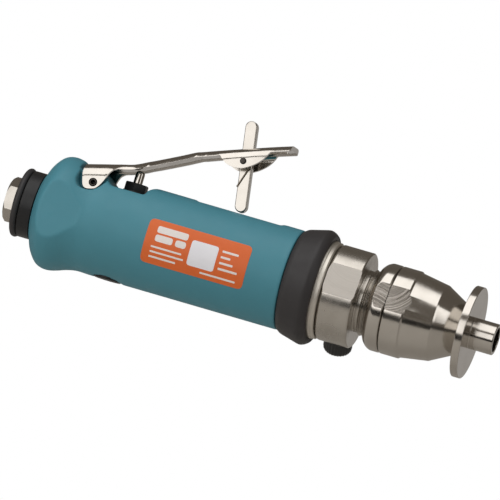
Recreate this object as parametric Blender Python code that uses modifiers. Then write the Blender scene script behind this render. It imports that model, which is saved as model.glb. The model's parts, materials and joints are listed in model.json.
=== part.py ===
"""Straight air router with a throttle lever, a lock-off lever and a pilot nose.

The tool lies along X with its nose at +X and its lever up at +Z. Stations along the tool are
counted in millimetres from the rear face of the air inlet, and heights from the tool's axis. The
model's origin is the middle of the tool's length, in the middle plane, at the height of its lowest
point. Moving pieces have their origin on their joint's axis.
"""

import math

import bmesh
import bpy
from mathutils import Matrix, Vector

# Driving dimensions, in millimetres.
LENGTH = 225.0  # rear face of the inlet to the end of the pilot tube
BODY_R = 22.4  # straight part of the housing
EXHAUST_R = 25.8  # widest ring, on which the tool rests
GAP = 0.3  # clearance between neighbouring pieces
HEX_FLATS = 17.5  # air inlet, across flats
INLET_BORE_R = 5.4  # inside of the 1/4 inch pipe thread
SHANK_R = 8.5  # inlet bushing inside the housing
MOTOR_BORE_R = 16.9  # housing bore around the motor
MOTOR_R = MOTOR_BORE_R - GAP
ROTOR_R = 12.5
CYLINDER_BORE_R = 14.0
CYLINDER_OFFSET = 1.0  # eccentricity of the motor cylinder's bore
COLLET_BORE_R = 3.2  # takes a 1/4 inch shank
PILOT_BORE_R = 5.4
PILOT_R = 6.95
NUT_R = 21.4
NOSE_R = 19.6
NECK_R = 14.9
THREAD_PITCH = 1.6
LEVER_PIVOT = (36.45, 16.3)  # station and height of the throttle lever's pin
LEVER_HALF_WIDTH = 10.5
LEVER_ROOT_HALF_WIDTH = 13.3
SHEET = 2.0  # thickness of the lever's sheet steel
INSET = 0.15  # the ears and wings stand this far inside the strip's edges
LOCK_PIVOT = (97.0, 43.5)  # station and height of the lock lever's pin
LOCK_SECTION = 5.3
VALVE_X = 52.9
REGULATOR_X = 52.4
FLAT_Z = 17.0  # seat of the valve gland on the housing
BUTTON_X = 155.6
BUTTON_TILT = math.radians(37.0)  # from straight down towards +Y

MM = 0.001
ROUND = 40  # segments of an outer turned piece
INNER = 20  # segments of an inner turned piece
SMALL = 12  # segments of a pin or a small bore

COLORS = {
    "teal_composite": ((0.095, 0.255, 0.305, 1.0), 0.45, 0.0),
    "black_rubber": ((0.030, 0.030, 0.032, 1.0), 0.60, 0.0),
    "black_plastic": ((0.020, 0.020, 0.022, 1.0), 0.40, 0.0),
    "orange_label": ((0.680, 0.140, 0.030, 1.0), 0.45, 0.0),
    "polished_steel": ((0.700, 0.680, 0.650, 1.0), 0.15, 1.0),
    "brushed_steel": ((0.600, 0.590, 0.570, 1.0), 0.35, 1.0),
    "brass": ((0.720, 0.500, 0.180, 1.0), 0.30, 1.0),
    "cast_iron": ((0.200, 0.200, 0.200, 1.0), 0.60, 1.0),
    "felt": ((0.450, 0.430, 0.400, 1.0), 0.95, 0.0),
}


def clear_objects():
    for old in list(bpy.data.objects):
        bpy.data.objects.remove(old, do_unlink=True)


def new_collection(name):
    collection = bpy.data.collections.new(name)
    bpy.context.scene.collection.children.link(collection)
    return collection


def make_material(name):
    color, roughness, metallic = COLORS[name]
    material = bpy.data.materials.new(name)
    material.use_nodes = True
    shader = material.node_tree.nodes["Principled BSDF"]
    shader.inputs["Base Color"].default_value = color
    shader.inputs["Roughness"].default_value = roughness
    shader.inputs["Metallic"].default_value = metallic
    return material


clear_objects()
PARTS = new_collection("air_router")
CUTTERS = new_collection("cutters")
MATERIALS = {name: make_material(name) for name in COLORS}


def at(x, y=0.0, z=0.0):
    """World place, in metres, of a station, a side distance and a height above the axis."""
    return Vector((x - LENGTH / 2, y, z + EXHAUST_R)) * MM


def add_object(name, mesh, material=None, location=None, turn=None):
    """Put a mesh in the scene: a part if it has a material, otherwise a cutter."""
    obj = bpy.data.objects.new(name, mesh)
    obj.location = location or at(0)
    if turn:
        obj.rotation_euler = turn
    if material:
        obj.data.materials.append(MATERIALS[material])
        PARTS.objects.link(obj)
    else:
        obj.hide_render = True
        obj.display_type = "WIRE"
        CUTTERS.objects.link(obj)
    return obj


def shade(obj, angle=35):
    obj.data.shade_smooth()
    obj.data.set_sharp_from_angle(angle=math.radians(angle))


def turned(name, outer, material=None, inner=(), steps=ROUND, center=None, turn=(0, math.pi / 2, 0)):
    """A body of revolution. outer and inner list (station, radius) from the tail to the nose.

    Without a center the body turns about the tool's axis. Its local Z is the turning axis.
    """
    points = [(r, x) for x, r in reversed(outer)]
    if inner:
        points += [(r, x) for x, r in inner]
    else:
        points = [(0.0, outer[-1][0])] + points + [(0.0, outer[0][0])]
    mesh = bpy.data.meshes.new(name)
    mesh.from_pydata([(r * MM, 0, x * MM) for r, x in points], [], [])
    count = len(points)
    mesh.edges.add(count if inner else count - 1)
    for i, edge in enumerate(mesh.edges):
        edge.vertices = (i, (i + 1) % count)
    obj = add_object(name, mesh, material, center or at(0), turn)
    screw = obj.modifiers.new("turn", "SCREW")
    screw.steps = steps
    screw.render_steps = steps
    screw.use_merge_vertices = True
    screw.merge_threshold = 0.00001
    screw.use_smooth_shade = True
    return obj


def ring(name, x0, x1, r_in, r_out, material=None, steps=INNER, **place):
    return turned(name, [(x0, r_out), (x1, r_out)], material, [(x0, r_in), (x1, r_in)], steps, **place)


def rod(name, x0, x1, radius, material=None, steps=INNER, **place):
    return turned(name, [(x0, radius), (x1, radius)], material, (), steps, **place)


def upright(x):
    """Placing for a turned piece whose stations are heights above the tool's axis."""
    return {"center": at(x), "turn": (0, 0, 0)}


def crosswise(x, z):
    """Placing for a turned piece along Y through the given station and height."""
    return {"center": at(x, 0, z), "turn": (-math.pi / 2, 0, 0)}


def block(name, x, y, z, material=None, bevel=0.0, turn_x=0.0, steps=2):
    """A box from its (low, high) limits, turned about the tool's axis by turn_x."""
    mesh = bpy.data.meshes.new(name)
    form = bmesh.new()
    bmesh.ops.create_cube(form, size=1.0)
    size = Vector((x[1] - x[0], y[1] - y[0], z[1] - z[0])) * MM
    middle = Vector((sum(x), sum(y), sum(z))) * (MM / 2)
    place = Matrix.Translation(middle) @ Matrix.Diagonal((*size, 1.0))
    bmesh.ops.transform(form, matrix=place, verts=form.verts)
    form.to_mesh(mesh)
    form.free()
    obj = add_object(name, mesh, material, at(0), (turn_x, 0, 0))
    if bevel:
        rounding = obj.modifiers.new("edges", "BEVEL")
        rounding.width = bevel * MM
        rounding.segments = steps
    return obj


def plate(name, outline, low, high, material=None, face="side"):
    """A flat outline given thickness: (x, z) points along Y, or (x, y) points along Z for face top."""
    curve = bpy.data.curves.new(name, "CURVE")
    curve.dimensions = "2D"
    curve.fill_mode = "BOTH"
    curve.extrude = (high - low) / 2 * MM
    spline = curve.splines.new("POLY")
    spline.points.add(len(outline) - 1)
    for point, (u, v) in zip(spline.points, outline):
        point.co = (u * MM, v * MM, 0, 1)
    spline.use_cyclic_u = True
    middle = (low + high) / 2
    guide = bpy.data.objects.new(name + "_outline", curve)
    PARTS.objects.link(guide)
    if face == "side":
        guide.matrix_world = Matrix.Translation(at(0, middle)) @ Matrix.Rotation(math.pi / 2, 4, "X")
    else:
        guide.matrix_world = Matrix.Translation(at(0, 0, middle))
    return curve_to_mesh(guide, name, material)


def curve_to_mesh(guide, name, material):
    """Replace a curve object by a welded mesh object in the same place."""
    bpy.context.view_layer.update()
    evaluated = guide.evaluated_get(bpy.context.evaluated_depsgraph_get())
    mesh = bpy.data.meshes.new_from_object(evaluated)
    form = bmesh.new()
    form.from_mesh(mesh)
    bmesh.ops.remove_doubles(form, verts=form.verts, dist=0.000001)
    bmesh.ops.recalc_face_normals(form, faces=form.faces)
    form.to_mesh(mesh)
    form.free()
    place = guide.matrix_world.copy()
    bpy.data.objects.remove(guide, do_unlink=True)
    mesh.materials.clear()
    obj = add_object(name, mesh, material)
    obj.matrix_world = place
    return obj


def cut(target, cutter, operation="DIFFERENCE"):
    boolean = target.modifiers.new(operation.lower(), "BOOLEAN")
    boolean.operation = operation
    boolean.object = cutter
    return target


def join(target, extra):
    return cut(target, extra, "UNION")


def arc(cx, cz, radius, start, end, count):
    """Points of an arc from one angle to another, in degrees."""
    for i in range(count + 1):
        angle = math.radians(start + (end - start) * i / count)
        yield cx + radius * math.cos(angle), cz + radius * math.sin(angle)


def set_origin(obj, place):
    """Move an object's origin to a world place and leave its shape where it is."""
    shift = obj.matrix_world.inverted() @ place
    obj.data.transform(Matrix.Translation(-shift))
    obj.location = place


def coil(name, radius, wire, start, end, turns, material, center, turn=(0, 0, 0), leg=()):
    """A wound spring along its own Z, with an optional straight leg of local points at its end."""
    per_turn = 8
    count = int(turns * per_turn)
    points = []
    for i in range(count + 1):
        angle = 2 * math.pi * i / per_turn
        height = start + (end - start) * i / count
        points.append((radius * math.cos(angle), radius * math.sin(angle), height))
    points += leg
    curve = bpy.data.curves.new(name, "CURVE")
    curve.dimensions = "3D"
    curve.bevel_depth = wire / 2 * MM
    curve.bevel_resolution = 1
    curve.use_fill_caps = True
    spline = curve.splines.new("POLY")
    spline.points.add(len(points) - 1)
    for point, co in zip(spline.points, points):
        point.co = (*(c * MM for c in co), 1)
    guide = bpy.data.objects.new(name + "_wire", curve)
    PARTS.objects.link(guide)
    guide.location = center
    guide.rotation_euler = turn
    return curve_to_mesh(guide, name, material)


# Rear end -------------------------------------------------------------------------------------


def hexagon(name, flats, low, high, material, place, turn=(0, 0, 0), spin=0.0):
    """A hexagonal prism along its own Z, with a corner towards its local Y when spin is zero."""
    mesh = bpy.data.meshes.new(name)
    form = bmesh.new()
    bmesh.ops.create_cone(form, cap_ends=True, segments=6, radius1=0.5, radius2=0.5, depth=1.0)
    across = flats / math.cos(math.pi / 6)
    size = Matrix.Diagonal((across * MM, across * MM, (high - low) * MM, 1.0))
    lift = Matrix.Translation((0, 0, (low + high) / 2 * MM))
    bmesh.ops.transform(form, matrix=lift @ size @ Matrix.Rotation(spin, 4, "Z"), verts=form.verts)
    form.to_mesh(mesh)
    form.free()
    return add_object(name, mesh, material, place, turn)


def inlet():
    """Hex inlet bushing with a female pipe thread, its strainer and its seal."""
    hex_end = 4.8
    shank_end = 36.0
    along = (0, math.pi / 2, 0)
    turned_flat = math.pi / 6
    bushing = hexagon(
        "inlet_bushing", HEX_FLATS, 0.0, hex_end, "brushed_steel", at(0), along, turned_flat
    )
    corner_r = HEX_FLATS / 2 / math.cos(math.pi / 6)
    full = corner_r + 0.1
    lathe = [(-1.0, corner_r - 1.6), (0.0, corner_r - 1.0), (1.2, full), (9.0, full)]
    cut(bushing, turned("hex_chamfer", lathe), "INTERSECT")
    groove = [(hex_end - 1.0, SHANK_R), (16.0, SHANK_R), (16.0, 7.2), (17.8, 7.2), (17.8, SHANK_R)]
    join(bushing, turned("inlet_shank", groove + [(shank_end, SHANK_R)], steps=32))
    bore = [(-1.0, 6.4), (0.0, 6.4), (1.0, INLET_BORE_R), (15.8, INLET_BORE_R)]
    bore += [(15.8, 4.0), (shank_end + 1, 4.0)]
    cut(bushing, turned("inlet_bore", bore, steps=32))
    turned(
        "inlet_oring",
        [(x, r) for x, r in arc(16.9, 8.0, 0.6, 180, 0, 4)],
        "black_rubber",
        [(x, r) for x, r in arc(16.9, 8.0, 0.6, 180, 360, 4)][1:-1],
        INNER,
    )
    screen = rod("inlet_screen", 14.4, 15.4, INLET_BORE_R - GAP, "brass")
    for i in range(7):
        angle = i * math.pi / 3
        reach = 0.0 if i == 6 else 3.2
        place = at(0, reach * math.cos(angle), reach * math.sin(angle))
        cut(screen, rod(f"screen_hole_{i}", 14.0, 16.0, 1.0, steps=8, center=place))


def rear_rings():
    """Rubber rim and collar between the inlet's hexagon and the housing."""
    inner = SHANK_R + GAP
    rim = [(5.1, 14.2), (5.5, 15.1), (6.1, 15.4), (7.1, 15.4), (7.7, 15.0), (8.0, 14.4)]
    turned("rear_rim_ring", rim, "black_rubber", [(5.1, inner), (8.0, inner)])
    collar = [(8.3, 14.4), (8.6, 14.8), (14.0, 14.8)]
    turned("rear_collar", collar, "black_plastic", [(8.3, inner), (14.0, inner)])


# Housing --------------------------------------------------------------------------------------

HOUSING_REAR = 14.3
HOUSING_FRONT = 130.7
MOTOR_START = 66.0
PASSAGE_R = 6.0
VALVE_BORE_R = 5.2
EAR_INNER_Y = 10.7
EAR_POCKET = [(26.8, 34.0), (26.6, 18.0), (27.4, 14.5), (29.4, 12.5), (32.4, 12.0), (35.5, 12.1)]
EAR_POCKET += [(38.1, 12.8), (39.9, 14.4), (41.3, 16.6), (42.3, 19.2), (42.9, 21.5), (43.5, 34.0)]
LABEL_X = (67.6, 114.6)
LABEL_Z = (-11.2, 8.2)
LOCK_SLOT_HALF_WIDTH = 3.8
LOCK_SLOT_X = (77.0, 106.0)
LOCK_SLOT_Z = 18.8


def housing_profile():
    """Flared grip, waist and straight barrel."""
    return [
        (HOUSING_REAR, 15.2),
        (15.0, 17.2),
        (16.4, 19.6),
        (18.3, 22.4),
        (20.0, 24.1),
        (21.8, 25.0),
        (24.2, 25.4),
        (26.8, 25.1),
        (29.6, 24.3),
        (32.4, 23.3),
        (35.5, 22.5),
        (38.7, 22.1),
        (45.0, 22.3),
        (60.0, BODY_R),
        (HOUSING_FRONT - 0.6, BODY_R),
        (HOUSING_FRONT, BODY_R - 0.6),
    ]


def top_cutter():
    """Everything above the lever's boss, the gland's seat, the shoulder and the top panel."""
    above = 32.0
    points = [(28.9, above), (28.9, 20.6), (29.4, 20.1), (31.4, 20.3), (38.6, 21.9), (39.8, 21.6)]
    points += [(43.9, 17.5), (44.8, FLAT_Z)]
    points += list(arc(64.2, 17.8, 4.1, 190, 90, 6))
    points += [(81.2, 21.9), (82.2, 21.4), (120.3, 21.4), (121.3, BODY_R), (121.3, above)]
    return plate("top_cutter", points, -30.0, 30.0)


def housing():
    inner = SHANK_R + GAP
    bores = [(HOUSING_REAR, inner), (37.0, inner), (37.0, PASSAGE_R), (58.0, PASSAGE_R)]
    bores += [(58.0, 2.5), (MOTOR_START, 2.5), (MOTOR_START, MOTOR_BORE_R)]
    bores += [(HOUSING_FRONT, MOTOR_BORE_R)]
    body = turned("housing", housing_profile(), "teal_composite", bores)
    cut(body, top_cutter())
    for side in (-1, 1):
        name = "left" if side < 0 else "right"
        limits = sorted((side * EAR_INNER_Y, side * 30.0))
        cut(body, plate(f"ear_pocket_{name}", EAR_POCKET, *limits))
        scallop = sorted((side * 21.9, side * 30.0))
        cut(body, block(f"thumb_flat_{name}", (10.0, 36.5), scallop, (-16.0, 14.0)))
    half = LOCK_SLOT_HALF_WIDTH
    cut(body, block("lock_slot", LOCK_SLOT_X, (-half, half), (LOCK_SLOT_Z, 30.0)))
    cut(body, rod("valve_bore", -6.5, 24.0, VALVE_BORE_R, **upright(VALVE_X)))
    regulator = [(-30.0, 6.5), (-14.0, 6.5), (-14.0, 3.9), (-6.0, 3.9)]
    cut(body, turned("regulator_bore", regulator, steps=INNER, **upright(REGULATOR_X)))
    supply = rod("supply_bore", VALVE_X, 70.0, 2.6, steps=SMALL, center=at(0, 0, 11.2))
    cut(body, supply)
    cut(body, rod("lever_pin_bore", -30.0, 30.0, 1.9, steps=SMALL, **crosswise(*LEVER_PIVOT)))
    cut(body, label_patch("label_recess", BODY_R - 0.5, BODY_R + 3.0, GAP))
    shade(body)
    label_patch("label", BODY_R - 0.2, BODY_R + 0.1, 0.0, "orange_label")


def label_patch(name, r_in, r_out, margin, material=None):
    """A curved, round-cornered patch on the side of the barrel."""
    low, high = LABEL_X
    patch = ring(name, low - margin, high + margin, r_in, r_out, material, ROUND)
    height = (LABEL_Z[0] - margin, LABEL_Z[1] + margin)
    window = block(name + "_window", (low - margin, high + margin), (-40.0, -10.0), height)
    rounding = window.modifiers.new("corners", "BEVEL")
    rounding.width = 2.5 * MM
    rounding.segments = 4
    rounding.limit_method = "WEIGHT"
    weights = window.data.attributes.new("bevel_weight_edge", "FLOAT", "EDGE")
    for edge, weight in zip(window.data.edges, weights.data):
        ends = [window.data.vertices[i].co for i in edge.vertices]
        along_y = abs(ends[0].y - ends[1].y) > 0.01
        weight.value = 1.0 if along_y else 0.0
    return cut(patch, window, "INTERSECT")


# Valve and regulator --------------------------------------------------------------------------

STEM_R = 2.05
STEM_TOP = 27.5
SEAT_Z = (5.6, 9.6)
POPPET_Z = (3.2, 5.2)
SPRING_FOOT = -6.0


def valve():
    place = upright(VALVE_X)
    base_z = FLAT_Z + GAP
    body = [(10.4, 4.9), (base_z, 4.9), (base_z, 5.6), (18.2, 5.4), (18.2, 4.2), (19.0, 4.2)]
    gland = turned("valve_gland", body, "black_plastic", steps=INNER, **place)
    join(gland, hexagon("gland_hex", 9.3, 18.0, 21.7, None, at(VALVE_X), spin=math.pi / 6))
    cut(gland, rod("gland_bore", 9.0, 24.0, STEM_R + GAP, steps=SMALL, **place))
    ring("valve_seat", *SEAT_Z, 3.0, 4.9, "brass", **place)
    stem = [(10.2, 1.5), (10.6, STEM_R), (STEM_TOP - 1.1, STEM_R), (STEM_TOP - 0.4, 1.6), (STEM_TOP, 0.8)]
    turned("valve_stem", stem, "polished_steel", steps=SMALL, **place)
    poppet = [(POPPET_Z[0], 4.3), (POPPET_Z[1], 4.3), (POPPET_Z[1], 1.4), (9.9, 1.4)]
    turned("valve_poppet", poppet, "brass", steps=INNER, **place)
    head = POPPET_Z[0] - 0.7
    coil("valve_spring", 3.2, 0.7, SPRING_FOOT, head, 4, "brushed_steel", at(VALVE_X))


def regulator():
    """Screw on the underside that throttles the air, with a screwdriver slot."""
    place = upright(REGULATOR_X)
    body = [(-22.3, 5.8), (-21.9, 6.2), (-15.0, 6.2), (-15.0, 3.6), (-8.0, 3.6), (-7.2, 2.8)]
    screw = turned("speed_regulator", body, "black_plastic", steps=INNER, **place)
    along = (REGULATOR_X - 4.6, REGULATOR_X + 4.6)
    slot = block("regulator_slot", along, (-0.6, 0.6), (-23.6, -21.2))
    cut(screw, slot)


# Motor ----------------------------------------------------------------------------------------

CYLINDER_X = (75.3, 112.0)
VANE_COUNT = 5
VANE_THICKNESS = 1.2
VANE_DEPTH = 5.5


def bearing(name, x0, x1, bore_r, outer_r):
    """A ball bearing as its two races and a ring of balls in their cage."""
    race = (outer_r - bore_r) * 0.28
    ring(f"{name}_inner_race", x0, x1, bore_r, bore_r + race, "polished_steel", INNER)
    ring(f"{name}_outer_race", x0, x1, outer_r - race, outer_r, "polished_steel", INNER)
    middle, half = (x0 + x1) / 2, (outer_r - bore_r) / 2 - race - GAP
    center_r = (bore_r + outer_r) / 2
    balls = list(arc(middle, center_r, half, 180, 0, 4))
    inside = list(arc(middle, center_r, half, 180, 360, 4))[1:-1]
    turned(f"{name}_balls", balls, "polished_steel", inside, INNER)


def motor():
    seats = {"rear": (67.6, 73.6), "middle": (113.6, 120.2)}
    rear = [(67.1, MOTOR_R), (75.0, MOTOR_R)]
    rear_bores = [(67.1, 9.8), (74.0, 9.8), (74.0, 6.0), (75.0, 6.0)]
    turned("rear_end_plate", rear, "cast_iron", rear_bores, INNER)
    ring("wave_washer", 66.3, 66.8, 7.4, 9.4, "brushed_steel")
    bearing("rear_bearing", *seats["rear"], 4.2, 9.5)
    cylinder = rod("motor_cylinder", *CYLINDER_X, MOTOR_R, "cast_iron")
    bore = rod("cylinder_bore", 70.0, 120.0, CYLINDER_BORE_R, center=at(0, 0, CYLINDER_OFFSET))
    cut(cylinder, bore)
    cut(cylinder, block("exhaust_port", (88.0, 99.0), (-3.0, 3.0), (13.0, 18.0)))
    front = [(112.3, MOTOR_R), (120.6, MOTOR_R)]
    front_bores = [(112.3, 7.6), (113.3, 7.6), (113.3, 11.3), (120.6, 11.3)]
    turned("front_end_plate", front, "cast_iron", front_bores, INNER)
    bearing("middle_bearing", *seats["middle"], 5.2, 11.0)
    pin_z = -15.0
    hole = rod("dowel_hole", 70.0, 118.0, 1.25, steps=12, center=at(0, 0, pin_z))
    for name in ("rear_end_plate", "motor_cylinder", "front_end_plate"):
        cut(bpy.data.objects[name], hole)
    rod("dowel_pin", 71.0, 117.5, 0.95, "brushed_steel", 12, center=at(0, 0, pin_z))


def rotor():
    low, high = CYLINDER_X[0] + GAP, CYLINDER_X[1] - GAP
    body = [(67.7, 3.9), (74.6, 3.9), (74.6, 5.5), (low, 5.5), (low, ROTOR_R), (high, ROTOR_R)]
    core = turned("rotor", body, "brushed_steel", steps=30)
    cut(core, rod("rotor_bore", 94.0, 120.0, 5.0))
    step = 2 * math.pi / VANE_COUNT
    depth = VANE_DEPTH + 0.8
    half = VANE_THICKNESS / 2
    for i in range(VANE_COUNT):
        wide = half + GAP
        radial = (ROTOR_R - depth, 20.0)
        cut(core, block(f"vane_slot_{i}", (70.0, 116.0), (-wide, wide), radial, turn_x=step * i))
        tip = ROTOR_R - 0.1
        radial = (tip - VANE_DEPTH, tip)
        block(f"vane_{i + 1}", (low, high), (-half, half), radial, "black_plastic", turn_x=step * i)


# Spindle and collet ---------------------------------------------------------------------------

NOSE_BEARING_X = (168.4, 176.0)
SPINDLE_R = 7.0


def spindle():
    body = [(94.6, 4.7), (112.3, 4.7), (112.3, 4.9), (120.5, 4.9), (120.5, SPINDLE_R)]
    body += [(178.0, SPINDLE_R), (178.0, 6.2), (188.0, 6.2)]
    shaft = turned("spindle", body, "polished_steel", steps=INNER)
    taper = [(160.0, COLLET_BORE_R), (178.5, COLLET_BORE_R), (178.5, 4.0), (189.0, 5.3)]
    cut(shaft, turned("collet_taper", taper, steps=INNER))
    cone = [(179.0, 3.8), (188.0, 4.9), (192.5, 5.9), (196.5, 4.7)]
    bore = [(179.0, COLLET_BORE_R), (196.5, COLLET_BORE_R)]
    collet = turned("collet", cone, "brushed_steel", bore, INNER)
    for i in range(3):
        across = block(f"collet_slit_{i}", (183.0, 200.0), (-0.3, 0.3), (0.0, 9.0), turn_x=i * math.tau / 3)
        cut(collet, across)
    nut = [(179.2, 9.0), (196.0, 9.0), (197.2, 8.0)]
    inside = [(179.2, 6.5), (188.6, 6.5), (193.0, 6.3), (197.2, 5.1)]
    holder = turned("collet_nut", nut, "polished_steel", inside, INNER)
    for side in (-1, 1):
        limits = sorted((side * 8.0, side * 14.0))
        cut(holder, block(f"collet_flat_{side}", (184.0, 199.0), limits, (-12.0, 12.0)))


# Exhaust and nose -----------------------------------------------------------------------------


def exhaust():
    outer = [(131.0, BODY_R), (132.5, 23.5), (137.0, 24.7), (141.0, 25.7), (142.2, EXHAUST_R)]
    outer += [(143.8, 25.2), (145.3, 24.0)]
    inner = [(131.0, 21.0), (143.4, 21.0), (143.4, 22.2), (145.3, 22.2)]
    turned("exhaust_ring", outer, "black_rubber", inner)
    ring("exhaust_silencer", 131.6, 143.0, 17.1, 20.6, "felt", INNER)
    collar = [(143.8, 21.5), (144.2, 21.9), (146.1, 21.9), (146.3, 21.7), (147.8, 21.7), (148.3, 21.1)]
    turned("front_collar", collar, "polished_steel", [(143.8, 17.1), (148.3, 17.1)])


def button_axis():
    """Placing for a piece on the lock button's axis, whose stations are heights along it."""
    return {"center": at(BUTTON_X), "turn": (BUTTON_TILT, 0, 0)}


def flats(target, x, angle, distance):
    """Two opposed wrench flats across a turned piece; the angle lifts the near one above -Y."""
    for side, turn in (("near", -angle), ("far", math.pi - angle)):
        name = f"{target.name}_{side}_flat"
        cut(target, block(name, x, (-distance - 20.0, -distance), (-30.0, 30.0), turn_x=turn))


def thread(x0, x1, crest, depth=0.8):
    """Profile of thread crests at the pitch, as rings."""
    count = int((x1 - x0) / THREAD_PITCH)
    for i in range(count):
        start = x0 + i * THREAD_PITCH
        yield start, crest - depth
        yield start + THREAD_PITCH / 2, crest


def nose_adapter():
    outer = [(121.0, MOTOR_R), (148.6, MOTOR_R), (148.6, NUT_R - 0.9), (149.5, NUT_R), (163.0, NUT_R)]
    outer += [(163.4, NUT_R - 0.4), (163.4, 13.8), (165.6, 13.8)]
    outer += list(thread(165.6, 170.4, NECK_R)) + [(170.4, NECK_R - 0.4), (184.0, NECK_R - 0.4)]
    inner = [(121.0, 12.0), (140.0, 12.0), (140.0, 8.2), (168.1, 8.2), (168.1, 12.7), (184.0, 12.7)]
    adapter = turned("nose_adapter", outer, "brushed_steel", inner)
    flats(adapter, (140.0, 165.0), math.radians(13.7), 20.2)
    drill = [(-30.0, 6.8), (-18.2, 6.8), (-18.2, 4.6), (-11.4, 4.6), (-11.4, 3.3), (-5.0, 3.3)]
    cut(adapter, turned("button_bore", drill, steps=INNER, **button_axis()))
    bearing("nose_bearing", *NOSE_BEARING_X, SPINDLE_R + GAP, 12.4)


def lock_button():
    """Spindle lock: ribbed cap, plunger and its spring, sliding towards the axis."""
    place = button_axis()
    cap = [(-28.9, 3.0), (-28.6, 4.9), (-27.7, 6.0), (-26.7, 6.35), (-21.2, 6.35)]
    turned("lock_button_cap", cap, "black_plastic", steps=32, **place)
    plunger = [(-20.9, 4.2), (-19.2, 4.2), (-19.2, 3.0), (-10.4, 3.0), (-10.0, 2.4)]
    turned("lock_button_plunger", plunger, "brushed_steel", steps=INNER, **place)
    coil("lock_button_spring", 3.85, 0.55, -18.8, -14.6, 3, "brushed_steel", **button_axis())


def nose():
    tilt = math.radians(11.9)
    flat_distance = 18.71
    lock = [(168.3, 15.7), (169.3, 17.9), (170.7, 19.2), (171.7, NOSE_R), (176.3, NOSE_R)]
    lock += [(176.8, NOSE_R - 0.5)]
    lock_ring = turned("nose_lock_ring", lock, "polished_steel", [(168.3, 15.2), (176.8, 15.2)])
    flats(lock_ring, (160.0, 180.0), tilt, flat_distance)
    outer = [(177.1, NOSE_R - 0.5), (177.6, NOSE_R), (185.5, NOSE_R), (186.2, 19.0), (198.6, 17.0)]
    outer += [(199.4, 16.5), (210.4, 10.6)]
    inner = [(177.1, 15.2), (186.0, 15.2), (188.0, 12.6), (198.4, 12.6), (200.4, 7.4), (210.4, 7.4)]
    shell = turned("nose_housing", outer, "polished_steel", inner)
    flats(shell, (170.0, 192.0), tilt, flat_distance)
    guide = [(202.0, 7.1), (210.7, 7.1), (210.7, 20.1), (211.0, 20.5), (213.9, 20.5), (214.2, 20.2)]
    guide += [(214.2, PILOT_R), (LENGTH - 0.4, PILOT_R), (LENGTH, PILOT_R - 0.4)]
    turned("pilot_guide", guide, "polished_steel", [(202.0, PILOT_BORE_R), (LENGTH, PILOT_BORE_R)])


# Levers ---------------------------------------------------------------------------------------

STRIP_TOP = [
    (30.4, 23.55),
    (40.2, 26.2),
    (48.2, 28.3),
    (52.6, 30.1),
    (60.2, 33.9),
    (75.2, 41.7),
    (86.8, 46.0),
    (101.0, 51.1),
    (109.0, 53.9),
    (117.2, 56.6),
]


SPRING_Y = (3.15, 6.4)  # side distances of the lock spring's leg and of its coil's outer end


def strip_outline():
    """Side view of the bent strip: its top line and the same line lowered by the sheet."""
    bottom = []
    for i, (x, z) in enumerate(STRIP_TOP):
        before = STRIP_TOP[max(i - 1, 0)]
        after = STRIP_TOP[min(i + 1, len(STRIP_TOP) - 1)]
        slope = Vector((after[0] - before[0], after[1] - before[1])).normalized()
        bottom.append((x + slope.y * SHEET, z - slope.x * SHEET))
    return STRIP_TOP + bottom[::-1]


def strip_plan():
    """Top view: wide at the ears, a sweep to the narrower grip, and a tip with round corners."""
    half, root = LEVER_HALF_WIDTH, LEVER_ROOT_HALF_WIDTH
    side = [(30.0, root), (44.4, root), (46.4, root - 0.8), (49.4, half + 0.7), (52.6, half), (113.4, half)]
    side += list(arc(113.4, half - 2.2, 2.2, 90, 0, 4))[1:]
    return side + [(x, -y) for x, y in reversed(side)]


def lever_ear(side):
    outline = [(30.9, 21.5), (30.9, 19.0), (32.0, 14.6), (33.0, 13.3), (34.4, 13.0), (37.7, 13.9)]
    outline += [(39.1, 15.4), (40.8, 18.2), (41.8, 21.5), (42.6, 23.4), (43.6, 24.5), (44.3, 26.0)]
    outline += [(31.0, 22.8)]
    outer = LEVER_ROOT_HALF_WIDTH - INSET
    low, high = sorted((side * (outer - SHEET), side * outer))
    return plate(f"lever_ear_{'near' if side < 0 else 'far'}", outline, low, high)


def lever_wing(side):
    """Side plate under the strip that carries the lock lever's pin."""
    outline = [(86.4, 44.9), (86.8, 43.3), (88.0, 41.7), (89.8, 40.5), (93.4, 39.8), (97.4, 40.6)]
    outline += [(100.8, 42.4), (104.2, 45.4), (106.3, 48.4), (107.1, 51.8)]
    outer = LEVER_HALF_WIDTH - INSET
    low, high = sorted((side * (outer - SHEET), side * outer))
    return plate(f"lever_wing_{'near' if side < 0 else 'far'}", outline, low, high)


def throttle_lever():
    lever = plate("throttle_lever", strip_outline(), -20.0, 20.0, "polished_steel")
    cut(lever, plate("lever_plan", strip_plan(), 0.0, 70.0, face="top"), "INTERSECT")
    for side in (-1, 1):
        join(lever, lever_ear(side))
        join(lever, lever_wing(side))
    slot_half = LOCK_SECTION / 2 + 0.5
    cut(lever, block("lock_lever_slot", (92.6, 112.9), (-slot_half, slot_half), (42.0, 60.0)))
    window = (-SPRING_Y[1] - 0.8, -slot_half + 0.1)
    cut(lever, block("lock_spring_window", (94.2, 100.4), window, (42.0, 60.0)))
    cut(lever, rod("lever_pivot_hole", -30.0, 30.0, 1.9, steps=SMALL, **crosswise(*LEVER_PIVOT)))
    cut(lever, rod("lock_pivot_hole", -30.0, 30.0, 1.5, steps=12, **crosswise(*LOCK_PIVOT)))
    bpy.context.view_layer.update()
    set_origin(lever, at(LEVER_PIVOT[0], 0, LEVER_PIVOT[1]))
    ring("lever_pin", -13.4, 13.4, 0.8, 1.6, "brushed_steel", SMALL, **crosswise(*LEVER_PIVOT))
    rod("lock_pin", -11.0, 11.0, 1.2, "brushed_steel", 12, **crosswise(*LOCK_PIVOT))


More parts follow.
